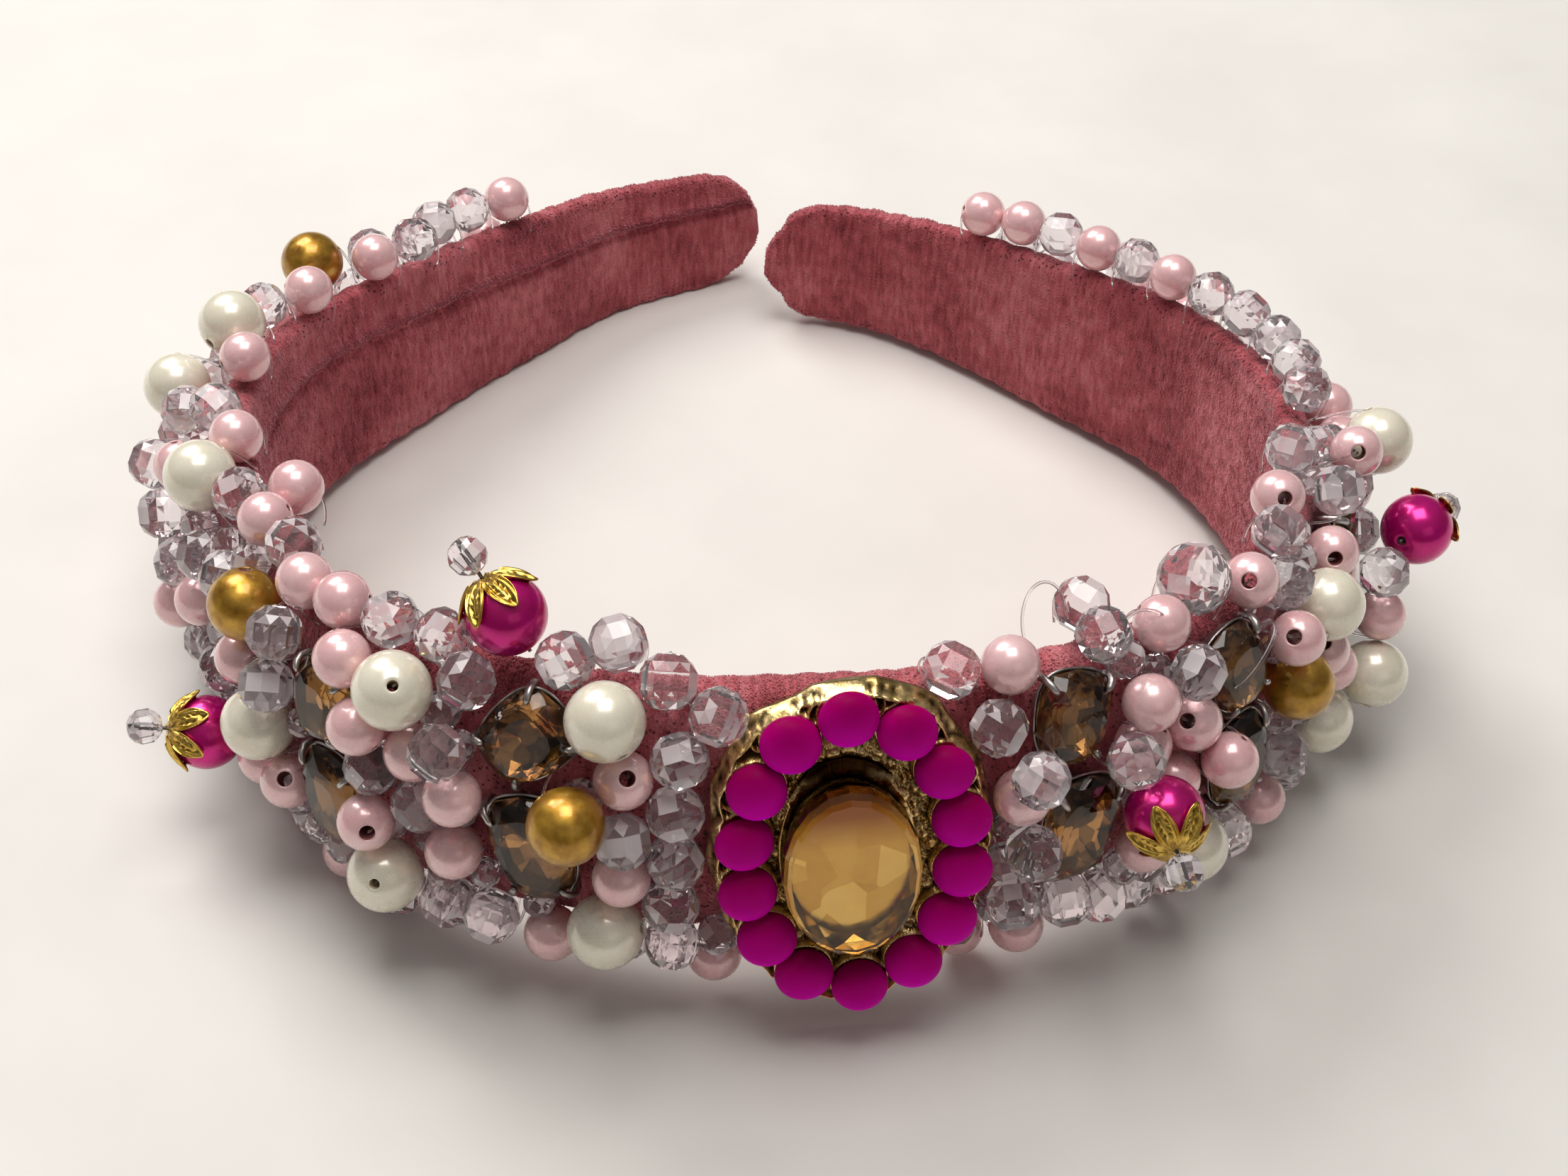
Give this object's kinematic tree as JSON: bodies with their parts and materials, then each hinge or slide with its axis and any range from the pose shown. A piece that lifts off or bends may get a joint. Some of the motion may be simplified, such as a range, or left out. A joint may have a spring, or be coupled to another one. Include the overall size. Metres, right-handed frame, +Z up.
{
  "type": "beaded headband",
  "caption": "Padded velvet headband with pearls, clear faceted beads, claw-set smoky stones and a gold medallion sewn to its outer face.",
  "frame": {"origin": "middle of the bounding box, on the surface that the headband lies on", "axes": "+Z up through the ring, +X towards the wearer's left, -Y towards the medallion at the front"},
  "size_m": [0.1543, 0.144, 0.0523],
  "materials": {
    "velvet": "old rose velvet with a short pile",
    "gold_metal": "cast and stamped gold-plated metal, darker in its hollows",
    "champagne_glass": "champagne faceted glass with a foiled back",
    "magenta_stone": "satin magenta cabochon",
    "smoky_glass": "smoky brown faceted glass in silver claws",
    "fuchsia_pearl": "fuchsia pearl coat",
    "clear_bead": "clear faceted bead with a faint lilac tint",
    "gold_pearl": "gold pearl coat",
    "cream_pearl": "cream pearl coat",
    "pink_pearl": "pale pink pearl coat"
  },
  "bodies": {
    "root": {"velvet_band": "velvet", "medallion_setting": "gold_metal", "centre_stone": "champagne_glass", "cabochon_01": "magenta_stone", "cabochon_02": "magenta_stone", "cabochon_03": "magenta_stone", "cabochon_04": "magenta_stone", "cabochon_05": "magenta_stone", "cabochon_06": "magenta_stone", "cabochon_07": "magenta_stone", "cabochon_08": "magenta_stone", "cabochon_09": "magenta_stone", "cabochon_10": "magenta_stone", "cabochon_11": "magenta_stone", "cabochon_12": "magenta_stone", "cabochon_13": "magenta_stone", "cabochon_14": "magenta_stone", "smoky_stone_01": "smoky_glass", "smoky_stone_02": "smoky_glass", "smoky_stone_03": "smoky_glass", "smoky_stone_04": "smoky_glass", "smoky_stone_05": "smoky_glass", "smoky_stone_06": "smoky_glass", "smoky_stone_07": "smoky_glass", "smoky_stone_08": "smoky_glass", "smoky_stone_09": "smoky_glass", "smoky_stone_10": "smoky_glass", "cream_pearl_01": "cream_pearl", "cream_pearl_02": "cream_pearl", "cream_pearl_03": "cream_pearl", "cream_pearl_04": "cream_pearl", "cream_pearl_05": "cream_pearl", "cream_pearl_06": "cream_pearl", "cream_pearl_07": "cream_pearl", "cream_pearl_08": "cream_pearl", "gold_pearl_09": "gold_pearl", "gold_pearl_10": "gold_pearl", "gold_pearl_11": "gold_pearl", "gold_pearl_12": "gold_pearl", "fuchsia_pearl_1": "fuchsia_pearl", "fuchsia_pearl_2": "fuchsia_pearl", "fuchsia_pearl_3": "fuchsia_pearl", "fuchsia_pearl_4": "fuchsia_pearl", "petal_cap_1": "gold_metal", "petal_cap_2": "gold_metal", "petal_cap_3": "gold_metal", "petal_cap_4": "gold_metal", "tip_bead_1": "clear_bead", "tip_bead_2": "clear_bead", "tip_bead_3": "clear_bead", "tip_bead_4": "clear_bead", "bead_field_left": "pink_pearl", "bead_field_right": "pink_pearl"}
  },
  "joints": []
}
